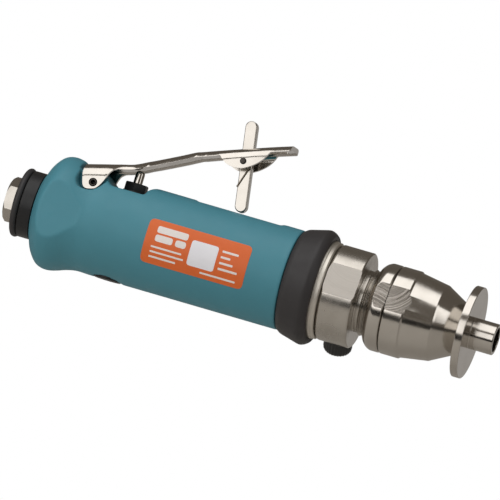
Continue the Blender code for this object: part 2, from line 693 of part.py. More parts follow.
def lock_lever():
    """Straight bar with round ends on a cross pin, and the spring that holds it upright."""
    top, bottom = (94.0, 61.8), (100.5, 22.15)
    x, z = LOCK_PIVOT
    radius = LOCK_SECTION / 2
    line = Vector((top[0] - bottom[0], top[1] - bottom[1]))
    length = line.length
    lean = math.degrees(math.atan2(line.y, line.x))
    unit = line.normalized()
    ends = [Vector(bottom) + unit * radius, Vector(top) - unit * radius]
    outline = list(arc(*ends[0], radius, lean + 90, lean + 270, 8))
    outline += list(arc(*ends[1], radius, lean - 90, lean + 90, 8))
    thickness = LOCK_SECTION - 0.3
    bar = plate("lock_lever", outline, -thickness / 2, thickness / 2, "polished_steel")
    cut(bar, rod("lock_bar_hole", -10.0, 10.0, 1.5, steps=12, **crosswise(*LOCK_PIVOT)))
    bpy.context.view_layer.update()
    set_origin(bar, at(x, 0, z))
    leg_y, coil_y = SPRING_Y
    leg = [(1.5, -3.0, leg_y), (-1.0, -11.1, leg_y)]
    across = (math.pi / 2, 0, 0)
    coil("lock_spring", 2.4, 0.6, coil_y, leg_y, 3.875, "brushed_steel", at(x, 0, z), across, leg)


def main():
    inlet()
    rear_rings()
    housing()
    valve()
    regulator()
    motor()
    rotor()
    spindle()
    exhaust()
    nose_adapter()
    lock_button()
    nose()
    throttle_lever()
    lock_lever()


main()
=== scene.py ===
"""Straight air router: the finished look of its outer pieces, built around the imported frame.

Stations run along the tool in millimetres from the rear face of the air inlet, and heights are
measured from the tool's axis. Every piece ends as a mesh in the row's frame, in metres.
"""

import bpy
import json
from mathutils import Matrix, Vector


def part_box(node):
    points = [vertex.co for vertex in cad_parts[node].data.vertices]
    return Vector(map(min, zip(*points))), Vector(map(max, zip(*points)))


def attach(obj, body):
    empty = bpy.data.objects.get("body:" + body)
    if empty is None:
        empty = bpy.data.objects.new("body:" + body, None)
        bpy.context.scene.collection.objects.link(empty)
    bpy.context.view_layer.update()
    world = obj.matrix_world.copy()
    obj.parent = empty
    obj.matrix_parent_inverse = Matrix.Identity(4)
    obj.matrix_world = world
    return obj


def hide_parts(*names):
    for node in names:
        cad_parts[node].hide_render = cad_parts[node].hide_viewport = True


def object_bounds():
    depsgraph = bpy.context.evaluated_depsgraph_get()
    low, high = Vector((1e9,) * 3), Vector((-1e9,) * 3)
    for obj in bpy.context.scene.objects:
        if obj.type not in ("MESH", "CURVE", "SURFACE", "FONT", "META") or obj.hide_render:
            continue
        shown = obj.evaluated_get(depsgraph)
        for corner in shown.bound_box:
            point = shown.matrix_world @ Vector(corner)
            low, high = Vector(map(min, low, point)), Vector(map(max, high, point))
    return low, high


bl_info = {
    "name": "Air Router",
    "version": (1, 0, 0),
    "blender": (4, 5, 0),
    "location": "3D View > Sidebar > Air Router",
    "description": "Builds the visible pieces and the finishes of a straight air router",
    "category": "Object",
}

import json
import math

import bmesh
import bpy
from mathutils import Matrix, Vector

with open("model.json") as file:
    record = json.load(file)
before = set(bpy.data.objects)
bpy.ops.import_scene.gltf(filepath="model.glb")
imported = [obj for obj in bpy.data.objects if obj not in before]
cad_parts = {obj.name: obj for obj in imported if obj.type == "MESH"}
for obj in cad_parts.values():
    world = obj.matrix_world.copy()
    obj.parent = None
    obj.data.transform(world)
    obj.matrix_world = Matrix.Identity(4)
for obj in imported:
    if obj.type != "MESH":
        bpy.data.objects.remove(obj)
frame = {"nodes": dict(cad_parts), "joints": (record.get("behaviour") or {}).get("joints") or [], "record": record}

MM = 0.001
CAD_LOW, CAD_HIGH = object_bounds()
REAR = CAD_LOW.x
AXIS_Z = sum(corner.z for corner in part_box("pilot_guide")) / 2
FINE = 128  # segments of an outer turned piece
MEDIUM = 64
COARSE = 32


# Places read from the frame


def at(x=0.0, y=0.0, z=0.0):
    """Place in the row's frame, in metres, of a station, a side distance and a height."""
    return Vector((REAR + x * MM, y * MM, AXIS_Z + z * MM))


def span(node):
    """First and last station of a CAD node."""
    low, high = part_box(node)
    return (low.x - REAR) / MM, (high.x - REAR) / MM


def height(node):
    """Lowest and highest point of a CAD node above the axis."""
    low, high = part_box(node)
    return (low.z - AXIS_Z) / MM, (high.z - AXIS_Z) / MM


def radius(node):
    """Radius of a turned CAD node, from its width."""
    low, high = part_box(node)
    return (high.y - low.y) / 2 / MM


def pivot(joint_name):
    """Station and height of a hinge's axis."""
    joint = next(j for j in frame["joints"] if j["name"] == joint_name)
    return (joint["pos_m"][0] - REAR) / MM, (joint["pos_m"][2] - AXIS_Z) / MM


LEVER_PIVOT = pivot("throttle_lever_hinge")
LOCK_PIVOT = pivot("lock_lever_hinge")
BUTTON_JOINT = next(j for j in frame["joints"] if j["name"] == "spindle_lock_button_slide")
BUTTON_X = sum(span("lock_button_cap")) / 2
BUTTON_TILT = math.atan2(-BUTTON_JOINT["axis"][1], BUTTON_JOINT["axis"][2])


# Mesh tools


def filleted(points, size, segments=4, closed=False):
    """Round the corners of an outline. A point may carry its own fillet as a third number."""
    count = len(points)
    result = []
    for i, point in enumerate(points):
        corner = Vector(point[:2])
        reach = point[2] if len(point) > 2 else size
        if reach == 0 or not closed and i in (0, count - 1):
            result.append(tuple(corner))
            continue
        before = Vector(points[i - 1][:2]) - corner
        after = Vector(points[(i + 1) % count][:2]) - corner
        reach = min(reach, before.length * 0.45, after.length * 0.45)
        start = corner + before.normalized() * reach
        end = corner + after.normalized() * reach
        for k in range(segments + 1):
            t = k / segments
            result.append(tuple(start * (1 - t) ** 2 + corner * 2 * t * (1 - t) + end * t * t))
    return result


def flowing(points, steps=6):
    """A smooth Catmull-Rom line through the points."""
    ends = [points[0]] + list(points) + [points[-1]]
    result = []
    for i in range(len(points) - 1):
        p0, p1, p2, p3 = (Vector(ends[i + k]) for k in range(4))
        for k in range(steps):
            t = k / steps
            bend = (2 * p0 - 5 * p1 + 4 * p2 - p3) * t * t + (3 * p1 - p0 - 3 * p2 + p3) * t**3
            result.append(tuple((2 * p1 + (p2 - p0) * t + bend) / 2))
    return result + [tuple(points[-1])]


def arc(cx, cy, size, start, end, count):
    """Points of an arc from one angle to another, in degrees."""
    for i in range(count + 1):
        angle = math.radians(start + (end - start) * i / count)
        yield cx + size * math.cos(angle), cy + size * math.sin(angle)


def add_object(name, mesh, location=None, turn=(0, 0, 0)):
    obj = bpy.data.objects.new(name, mesh)
    obj.location = location or Vector()
    obj.rotation_euler = turn
    bpy.context.scene.collection.objects.link(obj)
    return obj


ALONG = (0, math.pi / 2, 0)  # local Z runs along the tool
ACROSS = (-math.pi / 2, 0, 0)  # local Z runs across the tool, towards +Y
UPRIGHT = (0, 0, 0)


def turned(name, outer, inner=(), steps=FINE, center=None, turn=ALONG, fillet=0.25):
    """A body of revolution from (station, radius) lines that run from the tail to the nose."""
    if inner:
        line = filleted([*reversed(outer), *inner], fillet, closed=True)
    else:
        body = [(outer[-1][0], 0.0, 0), *reversed(outer), (outer[0][0], 0.0, 0)]
        line = filleted(body, fillet)
    mesh = bpy.data.meshes.new(name)
    count = len(line)
    edges = [(i, (i + 1) % count) for i in range(count if inner else count - 1)]
    mesh.from_pydata([(r * MM, 0, x * MM) for x, r in line], edges, [])
    obj = add_object(name, mesh, center or at(), turn)
    screw = obj.modifiers.new("turn", "SCREW")
    screw.steps = steps
    screw.render_steps = steps
    screw.use_merge_vertices = True
    screw.merge_threshold = 0.000005
    return obj


def ring(name, x0, x1, r_in, r_out, steps=FINE, **place):
    return turned(name, [(x0, r_out), (x1, r_out)], [(x0, r_in), (x1, r_in)], steps, **place)


def rod(name, x0, x1, size, steps=MEDIUM, **place):
    return turned(name, [(x0, size), (x1, size)], (), steps, **place)


def built(name, form):
    """The mesh of a closed form, which is used up."""
    bmesh.ops.recalc_face_normals(form, faces=form.faces)
    mesh = bpy.data.meshes.new(name)
    form.to_mesh(mesh)
    form.free()
    return mesh


def lofted(name, loops):
    """A closed mesh through loops of points that all have the same count."""
    form = bmesh.new()
    rings = [[form.verts.new(point) for point in loop] for loop in loops]
    count = len(rings[0])
    for lower, upper in zip(rings, rings[1:]):
        for i in range(count):
            k = (i + 1) % count
            form.faces.new((lower[i], lower[k], upper[k], upper[i]))
    form.faces.new(rings[0])
    form.faces.new(rings[-1])
    return built(name, form)


def block(name, x, y, z, turn_x=0.0, bevel=0.0):
    """A box from its (low, high) limits, turned about the tool's axis."""
    form = bmesh.new()
    bmesh.ops.create_cube(form, size=1.0)
    size = Matrix.Diagonal((*((high - low) * MM for low, high in (x, y, z)), 1.0))
    middle = Matrix.Translation([sum(limits) * MM / 2 for limits in (x, y, z)])
    bmesh.ops.transform(form, matrix=middle @ size, verts=form.verts)
    obj = add_object(name, built(name, form), at(), (turn_x, 0, 0))
    if bevel:
        rounding = obj.modifiers.new("edges", "BEVEL")
        rounding.width = bevel * MM
        rounding.segments = 4
    return obj


def prism(name, outline, low, high, turn=UPRIGHT, center=None):
    """A flat outline of local x and y given thickness along local Z."""
    form = bmesh.new()
    base = form.faces.new([form.verts.new((u * MM, v * MM, low * MM)) for u, v in outline])
    raised = bmesh.ops.extrude_face_region(form, geom=[base])["geom"]
    lifted = [v for v in raised if isinstance(v, bmesh.types.BMVert)]
    bmesh.ops.translate(form, vec=(0, 0, (high - low) * MM), verts=lifted)
    return add_object(name, built(name, form), center or at(), turn)


def side_prism(name, outline, low, high):
    """A side view of stations and heights given thickness across the tool."""
    return prism(name, outline, -high, -low, (math.pi / 2, 0, 0))


def cut(target, cutter, operation="DIFFERENCE"):
    boolean = target.modifiers.new("cut", "BOOLEAN")
    boolean.operation = operation
    boolean.object = cutter
    return target


def join(target, extra):
    return cut(target, extra, "UNION")


def rounded_edges(obj, width, angle=35, segments=3):
    rounding = obj.modifiers.new("edges", "BEVEL")
    rounding.width = width * MM
    rounding.segments = segments
    rounding.limit_method = "ANGLE"
    rounding.angle_limit = math.radians(angle)
    return obj


def cutters(obj):
    """Objects that a piece's booleans use, and those that they use in turn."""
    for modifier in obj.modifiers:
        if modifier.type == "BOOLEAN":
            yield from cutters(modifier.object)
            yield modifier.object


def baked(obj):
    """Apply the modifiers, drop the cutters and bring the mesh into the row's frame."""
    bpy.context.view_layer.update()
    evaluated = obj.evaluated_get(bpy.context.evaluated_depsgraph_get())
    mesh = bpy.data.meshes.new_from_object(evaluated)
    mesh.transform(obj.matrix_world)
    name = obj.name
    for used in [*cutters(obj), obj]:
        bpy.data.objects.remove(used)
    return add_object(name, mesh)


# Finishes


def linear(hex_color):
    """An sRGB hex colour as linear RGBA."""
    channels = [int(hex_color[i : i + 2], 16) / 255 for i in (1, 3, 5)]
    return (*(c / 12.92 if c <= 0.04045 else ((c + 0.055) / 1.055) ** 2.4 for c in channels), 1.0)


def add_node(tree, kind, inputs=None, **settings):
    """Add a node with its settings, its values and its links."""
    node = tree.nodes.new(kind)
    for key, value in settings.items():
        setattr(node, key, value)
    for key, value in (inputs or {}).items():
        if isinstance(value, bpy.types.NodeSocket):
            tree.links.new(value, node.inputs[key])
        else:
            node.inputs[key].default_value = value
    return node


def new_finish(name):
    """An empty node material: its tree, its shader and its object coordinates."""
    material = bpy.data.materials.new(name)
    material.use_nodes = True
    tree = material.node_tree
    shader = tree.nodes["Principled BSDF"]
    place = add_node(tree, "ShaderNodeTexCoord").outputs["Object"]
    return material, tree, shader, place


def per_metre(size_mm):
    """Noise scale that gives features of a size in millimetres."""
    return 1000.0 / size_mm


def blended(tree, factor, first, second):
    mix = add_node(tree, "ShaderNodeMix", {0: factor, 6: first, 7: second}, data_type="RGBA")
    return mix.outputs[2]


def ranged(tree, value, low, high):
    """Spread the middle of a noise's values over a range."""
    limits = {"Value": value, "From Min": 0.3, "From Max": 0.7, "To Min": low, "To Max": high}
    return add_node(tree, "ShaderNodeMapRange", limits).outputs["Result"]


def noise(tree, place, size_mm, detail=2.0):
    values = {"Vector": place, "Scale": per_metre(size_mm), "Detail": detail}
    return add_node(tree, "ShaderNodeTexNoise", values).outputs["Fac"]


def line_noise(tree, value, size_mm, detail):
    """Noise along one value only, which draws lines across it."""
    values = {"W": value, "Scale": per_metre(size_mm), "Detail": detail}
    return add_node(tree, "ShaderNodeTexNoise", values, noise_dimensions="1D").outputs["Fac"]


def dress(tree, shader, color, gloss, relief, strength, relief_mm):
    """Link the colour, the roughness and the bump of a finish to its shader."""
    tree.links.new(color, shader.inputs["Base Color"])
    tree.links.new(gloss, shader.inputs["Roughness"])
    bump = {"Height": relief, "Strength": strength, "Distance": relief_mm * MM}
    normal = add_node(tree, "ShaderNodeBump", bump).outputs["Normal"]
    tree.links.new(normal, shader.inputs["Normal"])


def moulded(name, color, shade, roughness, grain_mm, relief_mm, ior=1.5):
    """A moulded plastic or rubber: the mould's fine spark texture, faint cloudiness in the colour
    and patches where handling has polished the tops of the grain."""
    material, tree, shader, place = new_finish(name)
    tint = blended(tree, noise(tree, place, 14.0, 4.0), color, shade)
    gloss = ranged(tree, noise(tree, place, 5.0, 5.0), roughness - 0.05, roughness + 0.07)
    dress(tree, shader, tint, gloss, noise(tree, place, grain_mm, 3.0), 0.5, relief_mm)
    shader.inputs["IOR"].default_value = ior
    return material


def turned_metal(name, color, shade, roughness, groove_mm, relief_mm):
    """Lathe-turned and plated steel: fine rings round the axis, which draw the highlights out
    across the piece, and a slightly uneven polish."""
    material, tree, shader, place = new_finish(name)
    station = add_node(tree, "ShaderNodeSeparateXYZ", {"Vector": place}).outputs["X"]
    stain = noise(tree, place, 9.0, 4.0)
    tint = blended(tree, stain, color, shade)
    gloss = ranged(tree, stain, roughness - 0.04, roughness + 0.05)
    dress(tree, shader, tint, gloss, line_noise(tree, station, groove_mm, 3.0), 0.35, relief_mm)
    shader.inputs["Metallic"].default_value = 1.0
    return material


def tumbled_metal(name, color, shade, roughness, grain_mm, relief_mm):
    """Pressed steel that was tumbled and nickel plated: a soft even polish with a faint ripple
    left from the sheet, and tiny scratches in every direction."""
    material, tree, shader, place = new_finish(name)
    stain = noise(tree, place, 7.0, 4.0)
    tint = blended(tree, stain, color, shade)
    gloss = ranged(tree, stain, roughness - 0.05, roughness + 0.06)
    dress(tree, shader, tint, gloss, noise(tree, place, grain_mm, 4.0), 0.3, relief_mm)
    shader.inputs["Metallic"].default_value = 1.0
    return material


def milled_metal(name, color, shade, roughness, sweep, pitch_mm, relief_mm):
    """A milled face: shallow arcs left by the cutter, swept about a point beside the tool."""
    material, tree, shader, place = new_finish(name)
    ends = {0: place, 1: tuple(at(*sweep))}
    offset = add_node(tree, "ShaderNodeVectorMath", ends, operation="DISTANCE").outputs["Value"]
    arcs = line_noise(tree, offset, pitch_mm, 2.0)
    tint = blended(tree, arcs, color, shade)
    gloss = ranged(tree, arcs, roughness - 0.05, roughness + 0.08)
    dress(tree, shader, tint, gloss, arcs, 0.5, relief_mm)
    shader.inputs["Metallic"].default_value = 1.0
    return material


# Sweep centres of the milling cutter: station, side distance and height.
RING_SWEEP = (169.0, -18, -18)
NOSE_SWEEP = (173.5, -18, 14)
NUT_SWEEP = (160, -20, 22)


def make_finishes(colors):
    """Every finish of the tool, by name."""
    main_colors = (colors.housing, colors.rubber, colors.nylon, colors.label, colors.steel)
    housing, rubber, nylon, label, steel = (tuple(color) for color in main_colors)
    dim, dark = "#bab4ac", "#8f877e"  # shades of plain and of deeply milled steel
    # Kind, material name, colour, shade and roughness, and then what its kind asks for.
    rows = {
        # Glass-filled nylon, moulded in a fine spark texture: satin, a little cloudy.
        "composite": (moulded, "glass_filled_nylon", housing, "#478695", 0.5, 0.6, 0.03, 1.4),
        # Nitrile rubber, moulded: matt, almost grey where light grazes it.
        "rubber": (moulded, "nitrile_rubber", rubber, "#373536", 0.5, 0.5, 0.02, 1.4),
        # Black nylon, moulded: darker and smoother than the rubber.
        "nylon": (moulded, "black_nylon", nylon, "#1f1f20", 0.4, 0.4, 0.012, 1.4),
        "glossy": (moulded, "glossy_nylon", "#161616", "#1b1b1b", 0.18, 0.4, 0.004),
        # Printed polyester label: smooth ink under a satin overlaminate.
        "label": (moulded, "printed_polyester", label, "#d96222", 0.45, 0.3, 0.003),
        "label_ink": (moulded, "white_label_ink", "#efe9e6", "#e2dcd8", 0.4, 0.3, 0.003),
        "label_pale": (moulded, "pale_label_panel", "#eeeef3", "#e6e6ec", 0.45, 0.3, 0.003),
        # Nickel-plated turned steel: mirror-like, streaked round the axis.
        "plated": (turned_metal, "nickel_plated_turned_steel", steel, dim, 0.16, 0.35, 0.004),
        # The same plate over a blasted surface: satin.
        "satin": (turned_metal, "satin_plated_steel", "#d8d2c6", steel, 0.42, 0.4, 0.004),
        # Turned steel left as machined: a softer shine with plainer rings.
        "turned": (turned_metal, "turned_steel", steel, "#aaa49b", 0.26, 0.5, 0.008),
        # Milled wrench flats: arcs from the cutter, deep on the nose and almost gone on the nut.
        "ring_flat": (milled_metal, "milled_ring_flat", steel, dark, 0.2, RING_SWEEP, 0.9, 0.16),
        "nose_flat": (milled_metal, "milled_nose_flat", steel, dark, 0.2, NOSE_SWEEP, 0.9, 0.16),
        "nut_flat": (milled_metal, "ground_nut_flat", steel, dim, 0.34, NUT_SWEEP, 0.6, 0.004),
        # Pressed and tumbled steel of the levers.
        "tumbled": (tumbled_metal, "tumbled_nickel_steel", steel, dim, 0.14, 2.5, 0.02),
        # Drawn spring wire and blackened pins.
        "wire": (tumbled_metal, "drawn_spring_wire", "#a89c8c", "#8d8376", 0.3, 0.8, 0.006),
        "dark": (tumbled_metal, "blackened_pin_steel", "#4a4643", "#39352f", 0.35, 0.8, 0.01),
        # Inner pieces.
        "ground": (turned_metal, "ground_bearing_steel", "#c9c9cc", "#bcbcc0", 0.12, 0.3, 0.002),
        "brass": (turned_metal, "turned_brass", "#d9b25c", "#c79c48", 0.28, 0.4, 0.006),
        "iron": (tumbled_metal, "machined_cast_iron", "#6d6b69", "#575553", 0.5, 0.7, 0.03),
        "felt": (moulded, "pressed_felt", "#8b8780", "#6f6b65", 0.95, 0.8, 0.2),
    }
    finishes = {}
    for key, (make, name, color, shade, *settings) in rows.items():
        tones = (linear(tone) if isinstance(tone, str) else tone for tone in (color, shade))
        finishes[key] = make(name, *tones, *settings)
    return finishes


FINISHES = {}

# The finishes of each material slot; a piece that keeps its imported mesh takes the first.
SLOT_FINISHES = {
    "teal_composite": ("composite",),
    "black_rubber": ("rubber",),
    "black_plastic": ("nylon", "glossy"),
    "label_print": ("label", "label_ink", "label_pale"),
    "plated_steel": ("plated", "satin", "tumbled"),
    "machined_steel": ("turned", "wire", "dark"),
    "bearing_steel": ("ground",),
    "brass": ("brass",),
    "cast_iron": ("iron",),
    "felt": ("felt",),
}


def finish_piece(obj, body, finish, nodes, angle=35):
    """Bake a piece, shade it, give it its finish, and let it stand for its CAD nodes."""
    piece = baked(obj) if obj.modifiers or obj.matrix_world != Matrix.Identity(4) else obj
    piece.data.materials.clear()
    piece.data.materials.append(FINISHES[finish])
    piece.data.shade_smooth()
    piece.data.set_sharp_from_angle(angle=math.radians(angle))
    normals = piece.modifiers.new("face_weighted_normals", "WEIGHTED_NORMAL")
    normals.keep_sharp = True
    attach(piece, body)
    if nodes:
        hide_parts(*nodes)
    return piece


# Sizes and colours that a user may change


def color_option(name, description, hex_color):
    default = linear(hex_color)
    return bpy.props.FloatVectorProperty(
        name=name, description=description, subtype="COLOR", size=4, default=default
    )


def size_option(name, description, default_mm):
    return bpy.props.FloatProperty(
        name=name, description=description, unit="LENGTH", default=default_mm * MM
    )


class RouterColors(bpy.types.PropertyGroup):
    """Colours of the tool's main finishes."""

    housing: color_option("Housing", "Glass-filled nylon of the barrel", "#4b8c9c")
    rubber: color_option("Rubber", "Exhaust ring and rim", "#333132")
    nylon: color_option("Nylon", "Collar, gland and button", "#1a1a1b")
    label: color_option("Label", "Printed ground of the label", "#e06824")
    steel: color_option("Steel", "Plated and turned steel", "#c6c1ba")


class RouterSizes(bpy.types.PropertyGroup):
    """Sizes of the tool's details, in metres."""

    thread_pitch: size_option("Thread pitch", "Pitch of the nose thread", 1.6)
    sheet: size_option("Sheet", "Thickness of the lever's sheet steel", 2.0)
    mould_voxel: size_option("Mould detail", "Grid on which the housing's edges are softened", 0.5)


def sizes():
    return bpy.context.scene.router_sizes


# Rear end

HEX_FLATS = (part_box("inlet_bushing")[1].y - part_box("inlet_bushing")[0].y) / MM
INLET_BORE = 5.4


class ROUTER_OT_rear_end(bpy.types.Operator):
    """Build the air inlet's hexagon with its pipe thread, and the rim and collar behind the grip"""

    bl_idname = "router.rear_end"
    bl_label = "Rear End"

    def execute(self, context):
        corner = HEX_FLATS / 2 / math.cos(math.pi / 6)
        hexagon = list(arc(0, 0, corner, 0, 300, 5))
        rim_start = span("rear_rim_ring")[0]
        hex_end = rim_start - 0.3
        inlet = prism("inlet_bushing_fine", hexagon, 0.0, hex_end, ALONG)
        full = corner + 0.1
        lathe = [(-1.0, corner - 1.9, 0), (0.0, corner - 1.15, 0), (1.1, full, 0), (20.0, full, 0)]
        cut(inlet, turned("inlet_chamfer", lathe), "INTERSECT")
        join(inlet, rod("inlet_shank", hex_end - 1.0, span("inlet_bushing")[1], 8.5))
        bore = [(-1.0, 6.7, 0), (0.0, 6.7, 0), (0.9, INLET_BORE + 0.3, 0)]
        pitch = 1.41  # of a 1/4 inch pipe thread, 18 to the inch
        for start in (1.2 + i * pitch for i in range(8)):
            bore += [(start, INLET_BORE, 0), (start + 0.5 * pitch, INLET_BORE + 0.6, 0)]
        bore += [(13.0, INLET_BORE, 0), (15.8, INLET_BORE, 0), (15.8, 4.0, 0), (40.0, 4.0, 0)]
        cut(inlet, turned("inlet_thread", bore, steps=MEDIUM))
        rounded_edges(inlet, 0.15, 50, 2)
        finish_piece(inlet, "router_body", "turned", ["inlet_bushing"])
        r = radius("rear_rim_ring")
        x0, x1 = span("rear_rim_ring")
        outer = [(x0, r - 1.1), (x0 + 0.5, r - 0.35), (x0 + 1.2, r), (x1 - 1.0, r)]
        outer += [(x1 - 0.35, r - 0.4), (x1, r - 1.0)]
        rim = turned("rear_rim_ring_fine", outer, [(x0, 8.8), (x1, 8.8)], fillet=0.6)
        finish_piece(rim, "router_body", "rubber", ["rear_rim_ring"])
        r = radius("rear_collar")
        x0, x1 = span("rear_collar")
        collar = turned("rear_collar_fine", [(x0, r), (x1, r)], [(x0, 8.8), (x1, 8.8)], fillet=0.35)
        finish_piece(collar, "router_body", "nylon", ["rear_collar"])
        return {"FINISHED"}


# Housing

FLAT_Z = 17.0  # seat of the valve gland
PANEL_Z = 21.4  # flat panel along the top of the barrel
VALVE_X = sum(span("valve_stem")) / 2
REGULATOR_X = sum(span("speed_regulator")) / 2


def housing_outline(x0, x1, r):
    """Flared grip, waist and straight barrel, from the tail to the nose."""
    flare = [
        (x0 + 0.6, r - 6.6),
        (x0 + 2.1, r - 2.8),
        (x0 + 4.0, r),
        (x0 + 5.7, r + 1.7),
        (x0 + 7.5, r + 2.6),
        (x0 + 9.9, r + 3.0),
        (x0 + 12.5, r + 2.7),
        (x0 + 15.3, r + 1.9),
        (x0 + 18.1, r + 0.9),
        (x0 + 21.2, r + 0.1),
        (x0 + 24.4, r - 0.3),
        (x0 + 30.7, r - 0.1),
        (x0 + 45.7, r),
    ]
    curve = [(x, y, 0) for x, y in flowing(flare, 5)]
    return [(x0, r - 7.4, 0.3)] + curve + [(x1, r, 0.5)]


def top_outline(r):
    """Side view of all that is taken off the top: boss, gland seat, shoulder and panel."""
    above = 34.0
    points = [(28.9, above), (28.9, 20.8), (29.6, 20.1), (31.4, 20.3), (38.4, 21.9), (39.6, 21.7)]
    points += [(43.9, 17.5), (44.8, FLAT_Z)]
    points += list(arc(64.2, 17.8, 4.1, 190, 90, 12))
    points += [(81.2, 21.9), (82.2, PANEL_Z), (120.3, PANEL_Z)]
    return points + [(121.3, r + 0.1), (121.3, above)]


EAR_POCKET = [(29.8, 36.0), (29.7, 18.0), (30.2, 14.6), (31.4, 12.9), (33.0, 12.3), (35.5, 12.2)]
EAR_POCKET += [(38.0, 12.9), (39.8, 14.5), (41.2, 16.7), (42.2, 19.3), (42.8, 21.6), (43.4, 36.0)]
EAR_INNER = 10.7  # side distance of the pocket's floor


def pocket_scoop(side):
    """Slanting cut that opens the ear's pocket towards the tail."""
    outline = [(30.6, EAR_INNER), (28.4, 26.0), (34.0, 26.0), (34.0, EAR_INNER)]
    scoop = prism("pocket_scoop", [(x, side * y) for x, y in outline], 14.6, 36.0)
    return rounded_edges(scoop, 1.5, 30, 4)


class ROUTER_OT_housing(bpy.types.Operator):
    """Mould the barrel: flared grip, lever pockets, thumb flats, gland seat and top panel"""

    bl_idname = "router.housing"
    bl_label = "Housing"

    def execute(self, context):
        x0, x1 = span("housing")
        r = radius("housing")
        bores = [(x0, 8.8, 0.3), (37.0, 8.8), (37.0, 6.0), (58.0, 6.0), (58.0, 2.5), (66.0, 2.5)]
        bores += [(66.0, 16.9), (x1, 16.9, 0.3)]
        body = turned("housing_fine", housing_outline(x0, x1, r), bores, steps=160, fillet=0.0)
        cut(body, side_prism("housing_top", top_outline(r), -30.0, 30.0))
        for side, name in ((-1, "near"), (1, "far")):
            limits = sorted((side * EAR_INNER, side * 34.0))
            cut(body, side_prism(f"lever_pocket_{name}", flowing(EAR_POCKET, 4), *limits))
            cut(body, pocket_scoop(side))
            limits = sorted((side * 21.9, side * 34.0))
            cut(body, block(f"thumb_flat_{name}", (8.0, 36.5), limits, (-16.0, 14.0)))
        cut(body, block("lock_groove", (77.0, 106.0), (-3.8, 3.8), (18.8, 34.0)))
        place = {"center": at(VALVE_X), "turn": UPRIGHT, "fillet": 0}
        cut(body, rod("valve_bore", -6.5, 24.0, 5.2, COARSE, **place))
        throttle = [(-30.0, 6.5), (-14.0, 6.5), (-14.0, 3.9), (-6.0, 3.9)]
        place = {"center": at(REGULATOR_X), "turn": UPRIGHT, "fillet": 0}
        cut(body, turned("regulator_bore", throttle, steps=MEDIUM, **place))
        pin = {"center": at(LEVER_PIVOT[0], 0, LEVER_PIVOT[1]), "turn": ACROSS, "fillet": 0}
        cut(body, rod("pin_bore", -30.0, 30.0, 1.9, COARSE, **pin))
        grid = body.modifiers.new("mould", "REMESH")
        grid.mode = "VOXEL"
        grid.voxel_size = sizes().mould_voxel
        soften = body.modifiers.new("soften", "SMOOTH")
        soften.factor = 0.5
        soften.iterations = 6
        finish_piece(body, "router_body", "composite", ["housing"], 60)
        return {"FINISHED"}


# Label


def patch(name, x, z, r_in, r_out, corner):
    """A curved, round-cornered patch on the near side of the barrel."""
    low, high = x
    sheet = ring(name, low - 1.0, high + 1.0, r_in, r_out, 192, fillet=0)
    window = [(low, z[0]), (high, z[0]), (high, z[1]), (low, z[1])]
    outline = filleted(window, corner, 6, closed=True)
    return cut(sheet, side_prism(name + "_window", outline, -40.0, -8.0), "INTERSECT")


# Left, right, top and base of each print in a grid of 107 by 45, its finish and its corners in mm.
LABEL_PRINT = {
    "label_badge": (10, 42, 6, 13, "label_ink", 1.0),
    "label_badge_foot": (10, 28, 15, 22, "label_ink", 1.0),
    "label_badge_dot": (31, 42, 15, 22, "label_ink", 1.3),
    "label_line_1": (8, 40, 27.0, 28.8, "label_ink", 0.3),
    "label_line_2": (8, 43, 32.0, 33.8, "label_ink", 0.3),
    "label_line_3": (8, 36, 37.0, 38.8, "label_ink", 0.3),
    "label_panel": (47, 75, 10, 36, "label_pale", 1.4),
    "label_field_1": (79, 96, 12.0, 14.2, "label_ink", 0.3),
    "label_field_2": (79, 89, 18.0, 20.2, "label_ink", 0.3),
    "label_field_3": (79, 93, 24.0, 26.2, "label_ink", 0.3),
    "label_field_4": (79, 99, 30.0, 32.2, "label_ink", 0.3),
    "label_foot": (62, 99, 39.0, 40.8, "label_ink", 0.3),
}


class ROUTER_OT_label(bpy.types.Operator):
    """Lay the printed label on the barrel: a plain ground, generic bars and a pale panel"""

    bl_idname = "router.label"
    bl_label = "Label"

    def execute(self, context):
        x0, x1 = span("label")
        low, high = height("label")
        r = radius("housing") + 0.02
        ground = patch("label_ground", (x0, x1), (low, high), r - 0.3, r + 0.08, 2.5)
        finish_piece(ground, "router_body", "label", ["label"])
        scale_x, scale_z = (x1 - x0) / 107, (low - high) / 45
        for name, (left, right, top, base, finish, corner) in LABEL_PRINT.items():
            x = (x0 + left * scale_x, x0 + right * scale_x)
            z = (high + base * scale_z, high + top * scale_z)
            ink = patch(name, x, z, r + 0.02, r + 0.11, corner)
            finish_piece(ink, "router_body", finish, [])
        return {"FINISHED"}


# Valve and regulator


